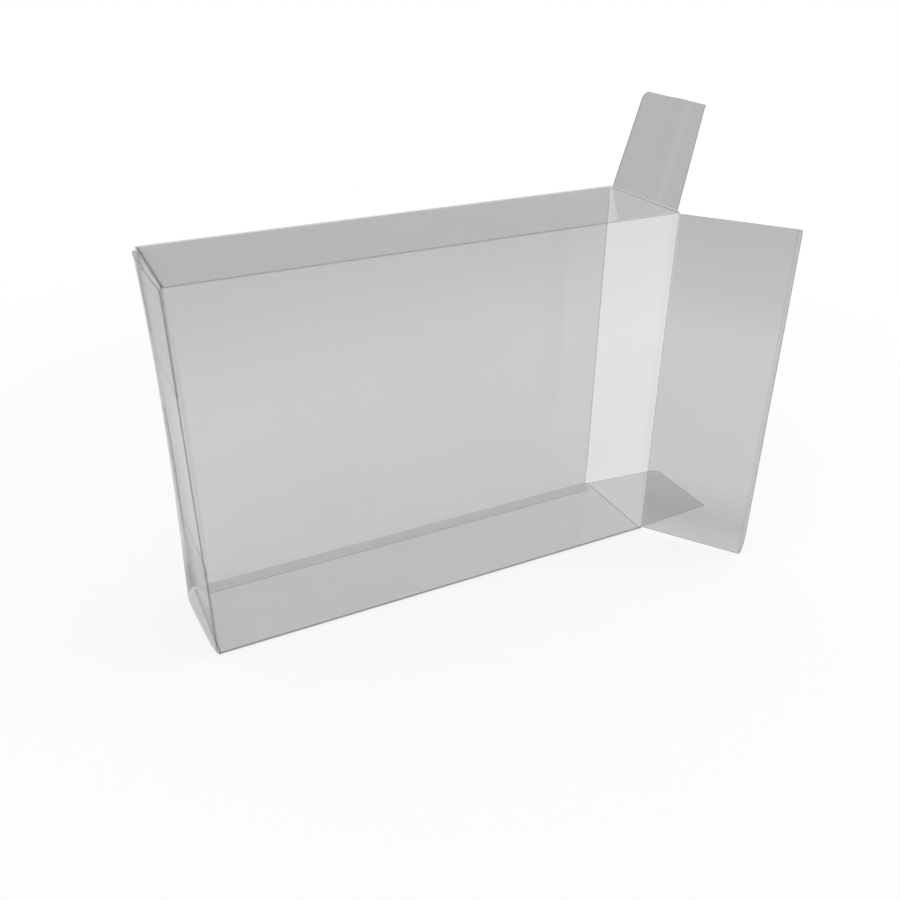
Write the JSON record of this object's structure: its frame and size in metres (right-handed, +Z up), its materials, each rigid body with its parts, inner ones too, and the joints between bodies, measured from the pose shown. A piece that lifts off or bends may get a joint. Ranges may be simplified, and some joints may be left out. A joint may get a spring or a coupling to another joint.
{
  "type": "clear display box",
  "caption": "Flat upright sleeve folded from clear film, tucked shut at its left end, with its right end open and the flaps standing out.",
  "frame": {"origin": "middle of the sleeve's underside, on the surface the box stands on", "axes": "+X along the sleeve towards its open end, +Y to the back panel, +Z up"},
  "size_m": [0.2433, 0.0846, 0.1889],
  "materials": {
    "panel_film": "smooth, clear, glossy thin film",
    "left_closure_film": "smooth, clear, glossy thin film",
    "right_closure_film": "smooth, clear, glossy thin film",
    "top_dust_film": "smooth, clear, glossy thin film",
    "bottom_dust_film": "smooth, clear, glossy thin film"
  },
  "bodies": {
    "box": {"sleeve": "panel_film"},
    "left_closure": {"left_closure_flap": "left_closure_film"},
    "right_closure": {"right_closure_flap": "right_closure_film"},
    "right_top_dust": {"right_top_dust_flap": "top_dust_film"},
    "right_bottom_dust": {"right_bottom_dust_flap": "bottom_dust_film"}
  },
  "joints": [
    {"name": "left_closure_fold", "type": "hinge", "parent": "box", "child": "left_closure", "pos_m": [-0.10035, -0.02365, 0.075], "axis": [0, 0, 1], "range_deg": [0, 180]},
    {"name": "right_closure_fold", "type": "hinge", "parent": "box", "child": "right_closure", "pos_m": [0.10035, -0.02365, 0.075], "axis": [0, 0, 1], "range_deg": [-35.65, 144.35]},
    {"name": "right_top_dust_fold", "type": "hinge", "parent": "box", "child": "right_top_dust", "pos_m": [0.09965, 0, 0.1498], "axis": [0, 1, 0], "range_deg": [-22.57, 167.43]},
    {"name": "right_bottom_dust_fold", "type": "hinge", "parent": "box", "child": "right_bottom_dust", "pos_m": [0.09965, 0, 0.0002], "axis": [0, -1, 0], "range_deg": [0, 90]}
  ]
}
